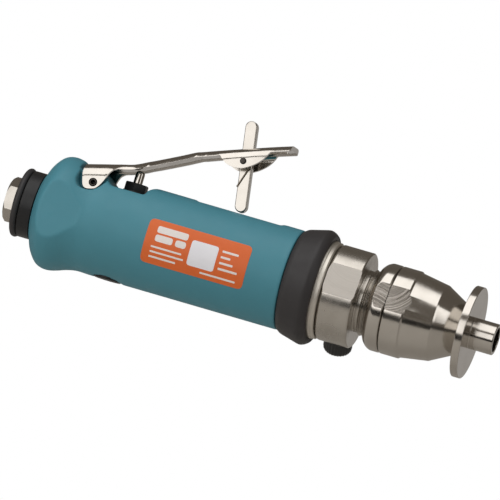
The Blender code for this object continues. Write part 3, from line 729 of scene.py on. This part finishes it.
class ROUTER_OT_valve(bpy.types.Operator):
    """Build the valve's hexagonal gland, its stem, and the speed regulator underneath"""

    bl_idname = "router.valve"
    bl_label = "Valve and Regulator"

    def execute(self, context):
        place = {"center": at(VALVE_X), "turn": UPRIGHT}
        low, high = height("valve_gland")
        base = FLAT_Z + 0.3
        body = [(low, 4.9), (base, 4.9, 0), (base, 5.6), (base + 0.8, 5.4), (base + 0.8, 4.2, 0)]
        body += [(base + 2, 4.2)]
        gland = turned("valve_gland_fine", body, steps=MEDIUM, **place)
        across = 9.3 / 2 / math.cos(math.pi / 6)
        hexagon = list(arc(0, 0, across, 30, 330, 5))
        head = prism("gland_head", hexagon, base + 0.7, high, center=at(VALVE_X))
        full = across + 0.2
        crown = [(base, full, 0), (high - 0.5, full, 0), (high, across - 0.5, 0)]
        crown += [(high + 1, 2.0, 0)]
        cut(head, turned("gland_crown", crown, steps=MEDIUM, **place), "INTERSECT")
        join(gland, head)
        cut(gland, rod("gland_bore", 5.0, 30.0, 2.3, COARSE, fillet=0, **place))
        rounded_edges(gland, 0.2, 40, 2)
        finish_piece(gland, "router_body", "nylon", ["valve_gland"])
        low, high = height("valve_stem")
        r = radius("valve_stem")
        outer = [(low, r - 0.5), (low + 0.5, r), (high - 1.1, r, 0.5)]
        outer += [(high - 0.35, r - 0.5, 0.4), (high, r - 1.3, 0.4)]
        stem = turned("valve_stem_fine", outer, steps=MEDIUM, **place)
        finish_piece(stem, "valve", "tumbled", ["valve_stem"])
        low, high = height("speed_regulator")
        r = radius("speed_regulator")
        place = {"center": at(REGULATOR_X), "turn": UPRIGHT}
        body = [(low, r - 0.4), (low + 0.4, r), (-15.0, r), (-15.0, 3.6), (-8.0, 3.6), (high, 2.8)]
        screw = turned("speed_regulator_fine", body, steps=MEDIUM, **place)
        along = (REGULATOR_X - 4.6, REGULATOR_X + 4.6)
        cut(screw, block("regulator_slot", along, (-0.6, 0.6), (-24.0, low + 1.1)))
        rounded_edges(screw, 0.12, 50, 2)
        finish_piece(screw, "regulator", "nylon", ["speed_regulator"])
        return {"FINISHED"}


# Exhaust and nose adapter


class ROUTER_OT_exhaust(bpy.types.Operator):
    """Build the rubber exhaust ring and the steel collar in its mouth"""

    bl_idname = "router.exhaust"
    bl_label = "Exhaust"

    def execute(self, context):
        x0, x1 = span("exhaust_ring")
        r = radius("exhaust_ring")
        outer = [(x0, r - 3.5, 0.4), (x0 + 1.6, r - 2.3, 1.2), (x0 + 10.0, r - 0.1, 1.0)]
        outer += [(x0 + 11.2, r, 0.6), (x0 + 12.8, r - 0.6, 0.8), (x1, r - 1.8, 0.5)]
        inner = [(x0, 21.0, 0), (x0 + 12.4, 21.0, 0), (x0 + 12.4, 22.2, 0), (x1, 22.2, 0.2)]
        ring_piece = turned("exhaust_ring_fine", outer, inner, steps=160)
        finish_piece(ring_piece, "router_body", "rubber", ["exhaust_ring"])
        x0, x1 = span("front_collar")
        r = radius("front_collar")
        outer = [(x0, r - 0.4), (x0 + 0.4, r), (x0 + 2.2, r, 0.1), (x0 + 2.5, r - 0.25, 0.1)]
        outer += [(x1 - 0.5, r - 0.25, 0.2), (x1, r - 0.8, 0.2)]
        collar = turned("front_collar_fine", outer, [(x0, 17.1), (x1, 17.1)], steps=160)
        finish_piece(collar, "router_body", "satin", ["front_collar"])
        return {"FINISHED"}


def wrench_flats(target, x, lift, distance):
    """Cut two opposed flats, the near one lifted above the side, and say which way it faces."""
    for side, turn in (("near", -lift), ("far", math.pi - lift)):
        name = f"{target.name}_{side}_flat"
        cut(target, block(name, x, (-distance - 20.0, -distance), (-30.0, 30.0), turn_x=turn))
    return Vector((0, -math.cos(lift), math.sin(lift)))


def mill_faces(piece, direction, distance, finish):
    """Give the faces that lie on the wrench flats their own finish."""
    piece.data.materials.append(finish)
    for face in piece.data.polygons:
        facing = face.normal.dot(direction)
        away = abs((face.center - at()).dot(direction)) / MM
        if abs(facing) > 0.999 and abs(away - distance) < 0.05:
            face.material_index = 1


def thread_crests(x0, x1, crest, pitch, depth=0.8):
    """Profile of a thread's crests at the pitch."""
    for i in range(int((x1 - x0) / pitch)):
        start = x0 + i * pitch
        yield start, crest - depth, 0.12
        yield start + pitch / 2, crest, 0.12


NUT_FLAT_LIFT = math.radians(13.7)
NUT_FLAT = 20.2


class ROUTER_OT_nose_adapter(bpy.types.Operator):
    """Turn the nose adapter: barrel, wrench nut, relief and threaded neck"""

    bl_idname = "router.nose_adapter"
    bl_label = "Nose Adapter"

    def execute(self, context):
        x0, x1 = span("nose_adapter")
        r = height("nose_adapter")[1]
        outer = [(x0, 16.6), (148.6, 16.6, 0), (148.6, r - 0.9, 0.1), (149.5, r, 0.3)]
        outer += [(162.9, r, 0.2), (163.4, r - 0.5, 0.2), (163.4, 13.8, 0.3), (165.6, 13.8, 0.3)]
        outer += list(thread_crests(165.6, 180.0, 14.9, sizes().thread_pitch / MM))
        outer += [(x1 - 0.8, 14.3), (x1, 13.8)]
        inner = [(x0, 12.0), (140.0, 12.0), (140.0, 8.2), (168.1, 8.2), (168.1, 12.7), (x1, 12.7)]
        adapter = turned("nose_adapter_fine", outer, inner, steps=160)
        facing = wrench_flats(adapter, (140.0, 165.0), NUT_FLAT_LIFT, NUT_FLAT)
        drill = [(-30.0, 6.8), (-18.2, 6.8), (-18.2, 4.6), (-11.4, 4.6), (-11.4, 3.3), (-5.0, 3.3)]
        place = {"center": at(BUTTON_X), "turn": (BUTTON_TILT, 0, 0), "fillet": 0}
        cut(adapter, turned("button_bore", drill, steps=MEDIUM, **place))
        piece = finish_piece(adapter, "router_body", "turned", ["nose_adapter"], 30)
        mill_faces(piece, facing, NUT_FLAT, FINISHES["nut_flat"])
        return {"FINISHED"}


class ROUTER_OT_button(bpy.types.Operator):
    """Build the ribbed cap of the spindle-lock button"""

    bl_idname = "router.button"
    bl_label = "Lock Button"

    def execute(self, context):
        ribs, rib_depth, smooth_below = 26, 0.32, 5.0
        end, size, root = -28.9, 6.35, -21.2
        profile = [(end, 2.6), (end + 0.25, 4.4), (end + 0.9, 5.6), (end + 1.8, 6.15)]
        profile += [(end + 2.6, size), (root, size)]
        steps = ribs * 6
        loops = []
        for z, r in profile:
            loop = []
            for i in range(steps):
                turn = math.tau * i / steps
                valley = rib_depth * (0.5 - 0.5 * math.cos(ribs * turn)) * (r > smooth_below)
                ribbed = (r - valley) * MM
                loop.append((ribbed * math.cos(turn), ribbed * math.sin(turn), z * MM))
            loops.append(loop)
        name = "lock_button_cap_fine"
        cap = add_object(name, lofted(name, loops), at(BUTTON_X), (BUTTON_TILT, 0, 0))
        rounded_edges(cap, 0.1, 60, 2)
        finish_piece(cap, "button", "glossy", ["lock_button_cap"], 50)
        return {"FINISHED"}


# Nose

NOSE_FLAT_LIFT = math.radians(11.9)
NOSE_FLAT = 18.71


class ROUTER_OT_nose(bpy.types.Operator):
    """Turn the lock ring, the nose housing and the pilot guide with its flange and tube"""

    bl_idname = "router.nose"
    bl_label = "Nose"

    def execute(self, context):
        x0, x1 = span("nose_lock_ring")
        r = 19.6
        outer = [(x0 + 0.2, 15.4, 0.2), (x0 + 1.0, 17.2, 0.6), (x0 + 2.4, 18.7, 0.8)]
        outer += [(x0 + 4.2, r, 0.8), (x1 - 0.5, r, 0.1), (x1, r - 0.5, 0.1)]
        lock = turned("nose_lock_ring_fine", outer, [(x0, 15.2), (x1, 15.2)], steps=160)
        facing = wrench_flats(lock, (x0 - 5, x1 + 5), NOSE_FLAT_LIFT, NOSE_FLAT)
        piece = finish_piece(lock, "lock_ring", "plated", ["nose_lock_ring"], 30)
        mill_faces(piece, facing, NOSE_FLAT, FINISHES["ring_flat"])
        x0, x1 = span("nose_housing")
        outer = [(x0, r - 0.5, 0.1), (x0 + 0.5, r, 0.1), (x0 + 8.4, r, 0.1)]
        outer += [(x0 + 9.1, r - 0.6, 0.2), (x0 + 21.6, 17.0, 0.2), (x0 + 22.4, 16.5, 0.2)]
        outer += [(x1, 10.6, 0.2)]
        inner = [(x0, 15.2), (186.0, 15.2), (188.0, 12.6), (198.4, 12.6), (200.4, 7.4), (x1, 7.4)]
        shell = turned("nose_housing_fine", outer, inner, steps=160)
        wrench_flats(shell, (x0 - 5, x0 + 15), NOSE_FLAT_LIFT, NOSE_FLAT)
        piece = finish_piece(shell, "nose", "plated", ["nose_housing"], 30)
        mill_faces(piece, facing, NOSE_FLAT, FINISHES["nose_flat"])
        x0, x1 = span("pilot_guide")
        r = radius("pilot_guide")
        tube = 6.95
        outer = [(x0, 7.1), (210.7, 7.1, 0), (210.7, r, 0.35), (214.2, r, 0.35), (214.2, tube, 0.3)]
        outer += [(x1, tube, 0.5)]
        guide = turned("pilot_guide_fine", outer, [(x0, 5.4), (x1, 5.4, 0.3)], steps=160)
        finish_piece(guide, "nose", "plated", ["pilot_guide"], 30)
        return {"FINISHED"}


# Throttle lever

STRIP_TOP = [
    (30.4, 23.55),
    (40.2, 26.2),
    (48.2, 28.3),
    (52.6, 30.1),
    (55.7, 31.7),
    (60.2, 33.9),
    (69.0, 38.4),
    (75.2, 41.7),
    (77.9, 42.7),
    (86.8, 46.0),
    (101.0, 51.1),
    (109.0, 53.9),
    (117.2, 56.6),
]
ROOT_HALF = (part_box("throttle_lever")[1].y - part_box("throttle_lever")[0].y) / 2 / MM
GRIP_HALF = 10.5
TIP = span("throttle_lever")[1]
FLANGE = 14.0  # depth of the pressed channel before it is trimmed
FLANGE_EDGE = 1.25  # depth of the trimmed channel along the grip, in sheet thicknesses
ROOT_BEND, GRIP_BEND = 6.5, 5.0  # outer bend radius at the ears and along the grip
BEND_STEPS = 6


def eased(x, start, end):
    """A smooth rise from 0 to 1 between two stations."""
    t = min(max((x - start) / (end - start), 0.0), 1.0)
    return t * t * (3 - 2 * t)


def half_width(x):
    """Half the strip's width at a station: wide at the ears, narrow along the grip."""
    return ROOT_HALF + (GRIP_HALF - ROOT_HALF) * eased(x, 43.5, 52.5)


def sloped(line):
    """Each point of a side view's line, with how much deeper its slope makes a plumb cut."""
    for i, (x, z) in enumerate(line):
        before, after = line[max(i - 1, 0)], line[min(i + 1, len(line) - 1)]
        slope = Vector((after[0] - before[0], after[1] - before[1])).normalized()
        yield x, z, slope.x


def channel_side(edge, top, bend):
    """One wall of the channel and its bend, as (y, depth) points from the open side up."""
    turns = [math.radians(90 * i / BEND_STEPS) for i in range(BEND_STEPS + 1)]
    corner = [(-edge + bend - bend * math.cos(a), top + bend - bend * math.sin(a)) for a in turns]
    return [(-edge, FLANGE)] + corner


def channel_section(half, sheet, bend):
    """Half-round-cornered channel, as a closed ring of (y, depth) points."""
    outside = channel_side(half, 0.0, bend)
    outside += [(-y, d) for y, d in reversed(outside)]
    inside = channel_side(half - sheet, sheet, max(bend - sheet, 0.3))
    inside += [(-y, d) for y, d in reversed(inside)]
    return outside + inside[::-1]


def pressed_channel(name, line, sheet):
    """Loft the channel along the strip's top line."""
    loops = []
    for x, z, slope in sloped(line):
        bend = ROOT_BEND + (GRIP_BEND - ROOT_BEND) * eased(x, 42.0, 47.0)
        section = channel_section(half_width(x), sheet, bend)
        loops.append([at(x, y, z - d / slope) for y, d in section])
    return add_object(name, lofted(name, loops))


def side_silhouette(line, sheet):
    """Side view that the channel is trimmed to: the strip, its ears and the lock lever's wings."""
    base = [(x, z - FLANGE_EDGE * sheet / slope) for x, z, slope in sloped(line)]
    ear = [(30.6, 20.4), (30.8, 19.0), (32.0, 14.8), (32.8, 13.5), (34.0, 13.0), (35.5, 13.15)]
    ear += [(37.5, 13.75), (38.8, 14.8), (40.1, 16.8), (41.1, 19.0), (41.8, 21.4), (42.8, 23.3)]
    ear += [(44.4, 24.6)]
    wing = [(86.0, 43.2), (86.6, 43.0), (87.6, 42.0), (89.8, 40.5), (92.0, 39.95), (94.4, 39.85)]
    wing += [(97.0, 40.4), (99.4, 41.5), (101.6, 43.0), (103.7, 44.9), (105.4, 47.0), (106.5, 49.0)]
    wing += [(107.1, 50.4)]
    lower = flowing(ear, 3)
    lower += [p for p in base if 45.2 < p[0] < 85.6]
    lower += flowing(wing, 3)
    lower += [p for p in base if p[0] > 107.4]
    above = [(x, z + 4.0) for x, z in line]
    return [(line[0][0], line[0][1] + 4.0)] + lower + above[::-1][:-1]


def tip_outline():
    """Top view that the strip is trimmed to: square at the root, round corners at the tip."""
    outline = [(29.0, 17.0), (TIP - 4.0, 17.0), (TIP - 4.0, GRIP_HALF)]
    outline += list(arc(TIP - 2.2, GRIP_HALF - 2.2, 2.2, 88, 0, 8))
    outline += [(x, -y) for x, y in reversed(outline)]
    return outline


class ROUTER_OT_throttle(bpy.types.Operator):
    """Press the throttle lever from sheet steel and fit its roll pin and the lock lever's pin"""

    bl_idname = "router.throttle"
    bl_label = "Throttle Lever"

    def execute(self, context):
        sheet = sizes().sheet / MM
        line = flowing(STRIP_TOP, 5)
        lever = pressed_channel("throttle_lever_fine", line, sheet)
        cut(lever, side_prism("lever_side", side_silhouette(line, sheet), -20.0, 20.0), "INTERSECT")
        cut(lever, prism("lever_tip", tip_outline(), 0.0, 80.0), "INTERSECT")
        slot_half, through = 3.15, (42.0, 62.0)
        slot = block("lock_slot", (92.6, 112.9), (-slot_half, slot_half), through, bevel=1.2)
        cut(lever, slot)
        window = (-7.2, -slot_half + 0.4)
        cut(lever, block("spring_window", (94.2, 100.4), window, through, bevel=0.8))
        place = {"turn": ACROSS, "fillet": 0}
        pin_at = at(LEVER_PIVOT[0], 0, LEVER_PIVOT[1])
        lock_at = at(LOCK_PIVOT[0], 0, LOCK_PIVOT[1])
        cut(lever, rod("pin_hole", -30.0, 30.0, 1.9, center=pin_at, **place))
        cut(lever, rod("lock_hole", -30.0, 30.0, 1.45, center=lock_at, **place))
        rounded_edges(lever, 0.35, 50, 3)
        finish_piece(lever, "throttle", "tumbled", ["throttle_lever"], 40)
        reach = (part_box("lever_pin")[1].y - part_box("lever_pin")[0].y) / 2 / MM
        place = {"center": pin_at, "turn": ACROSS, "fillet": 0.25}
        walls = ([(-reach, 1.6), (reach, 1.6)], [(-reach, 0.95), (reach, 0.95)])
        pin = turned("lever_pin_fine", *walls, COARSE, **place)
        x, z = LEVER_PIVOT
        cut(pin, block("pin_split", (x + 0.5, x + 2.0), (-20, 20), (z - 0.2, z + 0.2)))
        finish_piece(pin, "router_body", "dark", ["lever_pin"])
        reach = (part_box("lock_pin")[1].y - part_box("lock_pin")[0].y) / 2 / MM
        place = {"center": lock_at, "turn": ACROSS, "fillet": 0.3}
        pin = rod("lock_pin_fine", -reach, reach, 1.25, COARSE, **place)
        finish_piece(pin, "throttle", "dark", ["lock_pin"])
        return {"FINISHED"}


# Lock lever


class ROUTER_OT_lock(bpy.types.Operator):
    """Build the lock-off bar with its round ends, and the wound spring beside it"""

    bl_idname = "router.lock"
    bl_label = "Lock Lever"

    def execute(self, context):
        top, bottom = Vector((94.0, 61.8)), Vector((100.5, 22.15))
        half = 2.65
        line = (top - bottom).normalized()
        lean = math.degrees(math.atan2(line.y, line.x))
        outline = list(arc(*(bottom + line * half), half, lean + 90, lean + 270, 16))
        outline += list(arc(*(top - line * half), half, lean - 90, lean + 90, 16))
        bar = side_prism("lock_lever_fine", outline, -2.5, 2.5)
        rounded_edges(bar, 0.55, 50, 4)
        finish_piece(bar, "lock", "tumbled", ["lock_lever"], 50)
        leg_y, coil_y = 3.15, 6.4
        turns, per_turn = 3.875, 24
        points = []
        for i in range(int(turns * per_turn) + 1):
            angle = math.tau * i / per_turn
            away = coil_y + (leg_y - coil_y) * i / (turns * per_turn)
            points.append((2.4 * math.cos(angle), -away, 2.4 * math.sin(angle)))
        leg = [(1.6, -2.9), (0.6, -6.0), (-0.7, -10.2), (-1.0, -11.1)]
        points += [(x, -leg_y, z) for x, z in leg]
        curve = bpy.data.curves.new("lock_spring_fine", "CURVE")
        curve.dimensions = "3D"
        curve.bevel_depth = 0.3 * MM
        curve.bevel_resolution = 3
        curve.use_fill_caps = True
        spline = curve.splines.new("POLY")
        spline.points.add(len(points) - 1)
        for point, co in zip(spline.points, points):
            point.co = (*(c * MM for c in co), 1)
        wire = add_object("lock_spring_fine", curve, at(LOCK_PIVOT[0], 0, LOCK_PIVOT[1]))
        finish_piece(baked(wire), "lock", "wire", ["lock_spring"], 60)
        return {"FINISHED"}


# Inner pieces


class ROUTER_OT_inner(bpy.types.Operator):
    """Give the pieces inside the tool the finish of their material"""

    bl_idname = "router.inner"
    bl_label = "Inner Pieces"

    def execute(self, context):
        for part in frame["record"]["subparts"]:
            node = frame["nodes"][part["node"]]
            node.data.materials.clear()
            node.data.materials.append(FINISHES[SLOT_FINISHES[part["material_slot"]][0]])
        return {"FINISHED"}


# Stage

VIEW_AZIMUTH, VIEW_ELEVATION = math.radians(11.5), math.radians(-3.2)
TOOL_FALL = math.radians(16.2)  # slope of the tool's axis across the picture
VIEW_DISTANCE = 8.0
VIEW_WIDTH = 0.2174  # width of the picture at the tool
SENSOR = 36.0


def aim_camera(target):
    """Camera beside the tool, a little below it and towards its nose, rolled with the tool."""
    back = Vector((
        math.sin(VIEW_AZIMUTH) * math.cos(VIEW_ELEVATION),
        -math.cos(VIEW_AZIMUTH) * math.cos(VIEW_ELEVATION),
        math.sin(VIEW_ELEVATION),
    ))
    level = Vector((0, 0, 1)).cross(back).normalized()
    rise = back.cross(level)
    roll = math.atan2(rise.x, level.x) + TOOL_FALL
    right = level * math.cos(roll) + rise * math.sin(roll)
    up = rise * math.cos(roll) - level * math.sin(roll)
    data = bpy.data.cameras.new("camera")
    data.sensor_width = SENSOR
    data.lens = SENSOR * VIEW_DISTANCE / VIEW_WIDTH
    data.clip_end = 20.0
    camera = bpy.data.objects.new("camera", data)
    bpy.context.scene.collection.objects.link(camera)
    place = Matrix((right, up, back)).transposed().to_4x4()
    place.translation = target + back * VIEW_DISTANCE
    camera.matrix_world = place
    bpy.context.scene.camera = camera


def panel_place(angle, distance, x, tilt=0.0, swing=0.0):
    """Placing of a panel that faces the tool. The angle rises from the near side over the top,
    the tilt turns it in its own plane, and the swing carries it round towards the nose."""
    angle, tilt, swing = (math.radians(v) for v in (angle, tilt, swing))
    away = Vector((0, -math.cos(angle), math.sin(angle)))
    along = Vector((1, 0, 0))
    over = Vector((0, math.sin(angle), math.cos(angle)))
    long_side = along * math.cos(tilt) + over * math.sin(tilt)
    short_side = away.cross(long_side)
    place = Matrix((long_side, short_side, away)).transposed().to_4x4()
    place.translation = away * distance + along * x
    turn = Matrix.Rotation(swing, 4, "Z")
    return Matrix.Translation((0, 0, AXIS_Z)) @ turn @ place


def softbox(name, glow, length, width, **place):
    """A rectangular area light of an even glow, unseen by the camera."""
    data = bpy.data.lights.new(name, "AREA")
    data.shape = "RECTANGLE"
    data.size = length
    data.size_y = width
    data.energy = glow * math.pi * length * width
    light = bpy.data.objects.new(name, data)
    bpy.context.scene.collection.objects.link(light)
    light.visible_camera = False
    light.matrix_world = panel_place(**place)


def flag(name, length, width, material, **place):
    """A black card that keeps a dark line in the metal's reflections, unseen by the camera."""
    bpy.ops.mesh.primitive_plane_add(size=1.0)
    card = bpy.context.object
    card.name = name
    card.data.transform(Matrix.Diagonal((length, width, 1.0, 1.0)))
    card.data.transform(panel_place(**place))
    card.data.materials.append(material)
    card.visible_camera = False
    card.visible_diffuse = False
    card.visible_shadow = False


def lit_world():
    """White behind the tool, and a dim grey room for everything else."""
    world = bpy.data.worlds.new("studio")
    world.use_nodes = True
    tree = world.node_tree
    tree.nodes.clear()
    seen = add_node(tree, "ShaderNodeLightPath").outputs["Is Camera Ray"]
    white = add_node(tree, "ShaderNodeBackground", {"Color": (1, 1, 1, 1), "Strength": 1.0})
    room = add_node(tree, "ShaderNodeBackground", {"Color": linear("#928a80"), "Strength": 0.5})
    both = add_node(tree, "ShaderNodeMixShader", {0: seen, 1: room.outputs[0], 2: white.outputs[0]})
    add_node(tree, "ShaderNodeOutputWorld", {"Surface": both.outputs[0]})
    bpy.context.scene.world = world


class ROUTER_OT_stage(bpy.types.Operator):
    """Set the pale floor, the softboxes, the white background and the camera"""

    bl_idname = "router.stage"
    bl_label = "Stage"

    def execute(self, context):
        bpy.ops.mesh.primitive_plane_add(size=4.0, location=(0, 0, -0.2))
        floor = bpy.context.object
        floor.name = "floor"
        paper = moulded("pale_paper", linear("#e7e4df"), linear("#e2dfda"), 0.8, 3.0, 0.05)
        floor.data.materials.append(paper)
        floor.visible_camera = False
        card = moulded("black_card", linear("#0c0c0c"), linear("#0a0a0a"), 0.9, 3.0, 0.02)
        flag("lower_flag", 2.6, 0.118, card, angle=-22.0, distance=0.45, x=-0.1)
        lit_world()
        softbox("top_softbox", 1.7, 1.2, 0.96, angle=60.0, distance=0.9, x=-0.35, tilt=22.0)
        softbox("front_softbox", 1.6, 2.0, 0.6, angle=4.5, distance=1.0, x=-1.02)
        softbox("nose_softbox", 1.6, 0.35, 0.75, angle=18.0, distance=1.1, x=0.0, swing=57.0)
        softbox("rear_glow", 0.26, 1.4, 0.5, angle=178.0, distance=1.0, x=0.2)
        context.scene.view_settings.view_transform = "Standard"
        aim_camera(at(109.2, 0, 7.72))
        return {"FINISHED"}


# Add-on


class ROUTER_PT_build(bpy.types.Panel):
    """The sizes, the colours and one button for each group of pieces"""

    bl_idname = "ROUTER_PT_build"
    bl_label = "Air Router"
    bl_space_type = "VIEW_3D"
    bl_region_type = "UI"
    bl_category = "Air Router"

    def draw(self, context):
        for group in (context.scene.router_sizes, context.scene.router_colors):
            for name in group.__annotations__:
                self.layout.prop(group, name)
        for step in STEPS:
            self.layout.operator(step.bl_idname)


STEPS = (
    ROUTER_OT_stage,
    ROUTER_OT_inner,
    ROUTER_OT_rear_end,
    ROUTER_OT_housing,
    ROUTER_OT_label,
    ROUTER_OT_valve,
    ROUTER_OT_exhaust,
    ROUTER_OT_nose_adapter,
    ROUTER_OT_button,
    ROUTER_OT_nose,
    ROUTER_OT_throttle,
    ROUTER_OT_lock,
)
CLASSES = (RouterColors, RouterSizes, ROUTER_PT_build) + STEPS


def register():
    for item in CLASSES:
        bpy.utils.register_class(item)
    bpy.types.Scene.router_colors = bpy.props.PointerProperty(type=RouterColors)
    bpy.types.Scene.router_sizes = bpy.props.PointerProperty(type=RouterSizes)


def unregister():
    del bpy.types.Scene.router_sizes
    del bpy.types.Scene.router_colors
    for item in reversed(CLASSES):
        bpy.utils.unregister_class(item)


def main():
    register()
    FINISHES.update(make_finishes(bpy.context.scene.router_colors))
    for step in STEPS:
        group, name = step.bl_idname.split(".")
        getattr(getattr(bpy.ops, group), name)()


if __name__ == "__main__":
    main()
